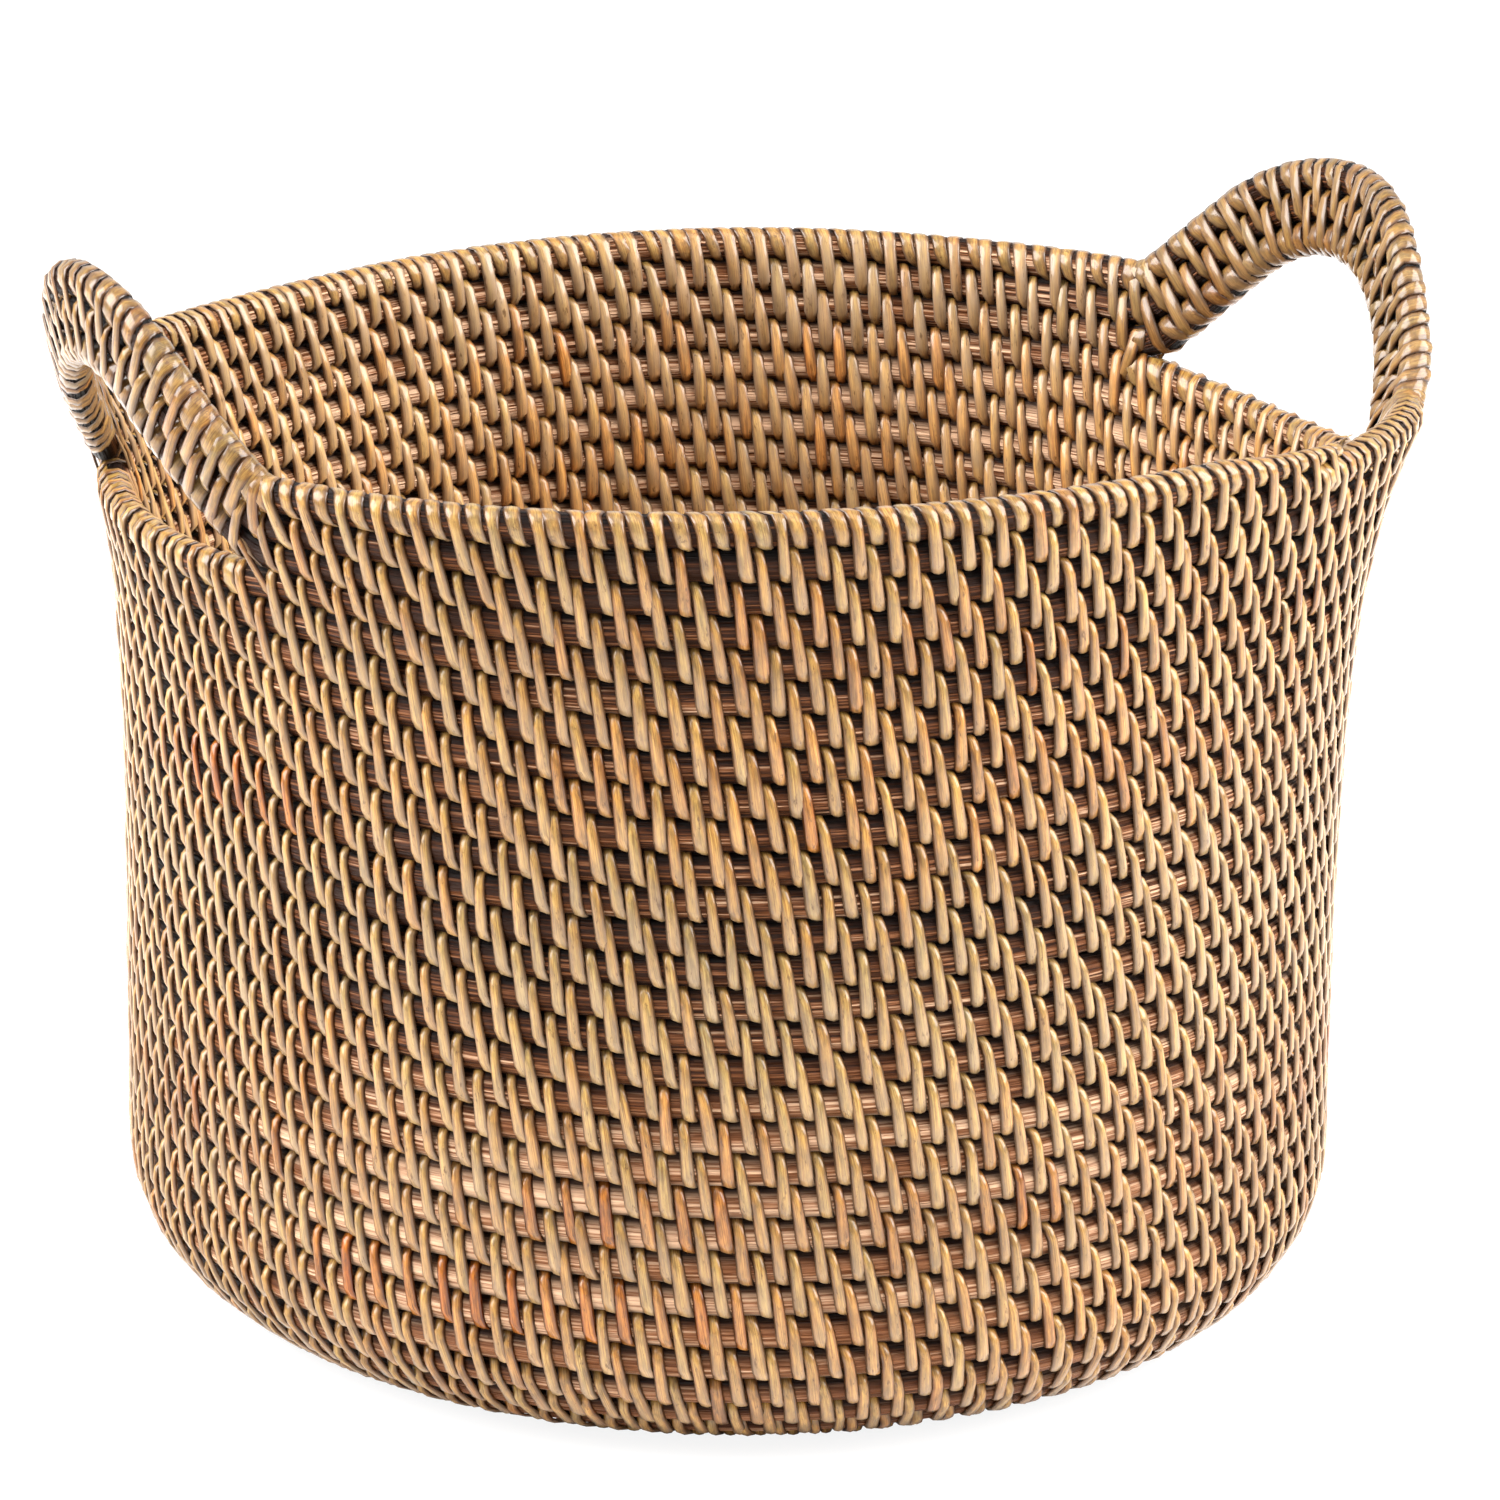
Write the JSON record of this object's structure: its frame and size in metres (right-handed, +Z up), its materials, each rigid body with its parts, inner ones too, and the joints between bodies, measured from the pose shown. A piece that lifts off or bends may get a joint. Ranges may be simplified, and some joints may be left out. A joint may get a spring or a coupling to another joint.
{
  "type": "coiled rattan basket",
  "caption": "Round open storage basket of coiled cane stitched with rattan peel, its top courses rising into two arched carrying handles.",
  "frame": {"origin": "centre of the underside, on the surface the basket stands on", "axes": "+Z up, +X and -X towards the two handles, +Y across"},
  "size_m": [0.412, 0.3608, 0.3211],
  "materials": {
    "bound_cane": "round cane bound with glossy honey-coloured rattan peel, dark brown in the gaps between stitches"
  },
  "bodies": {
    "root": {"floor_cane_1": "bound_cane", "floor_cane_2": "bound_cane", "corner_cane_1": "bound_cane", "corner_cane_2": "bound_cane", "corner_cane_3": "bound_cane", "wall_cane_1": "bound_cane", "wall_cane_2": "bound_cane", "wall_cane_3": "bound_cane", "wall_cane_4": "bound_cane", "wall_cane_5": "bound_cane", "wall_cane_6": "bound_cane", "handle_cane_1": "bound_cane", "handle_cane_2": "bound_cane", "handle_cane_3": "bound_cane"}
  },
  "joints": []
}
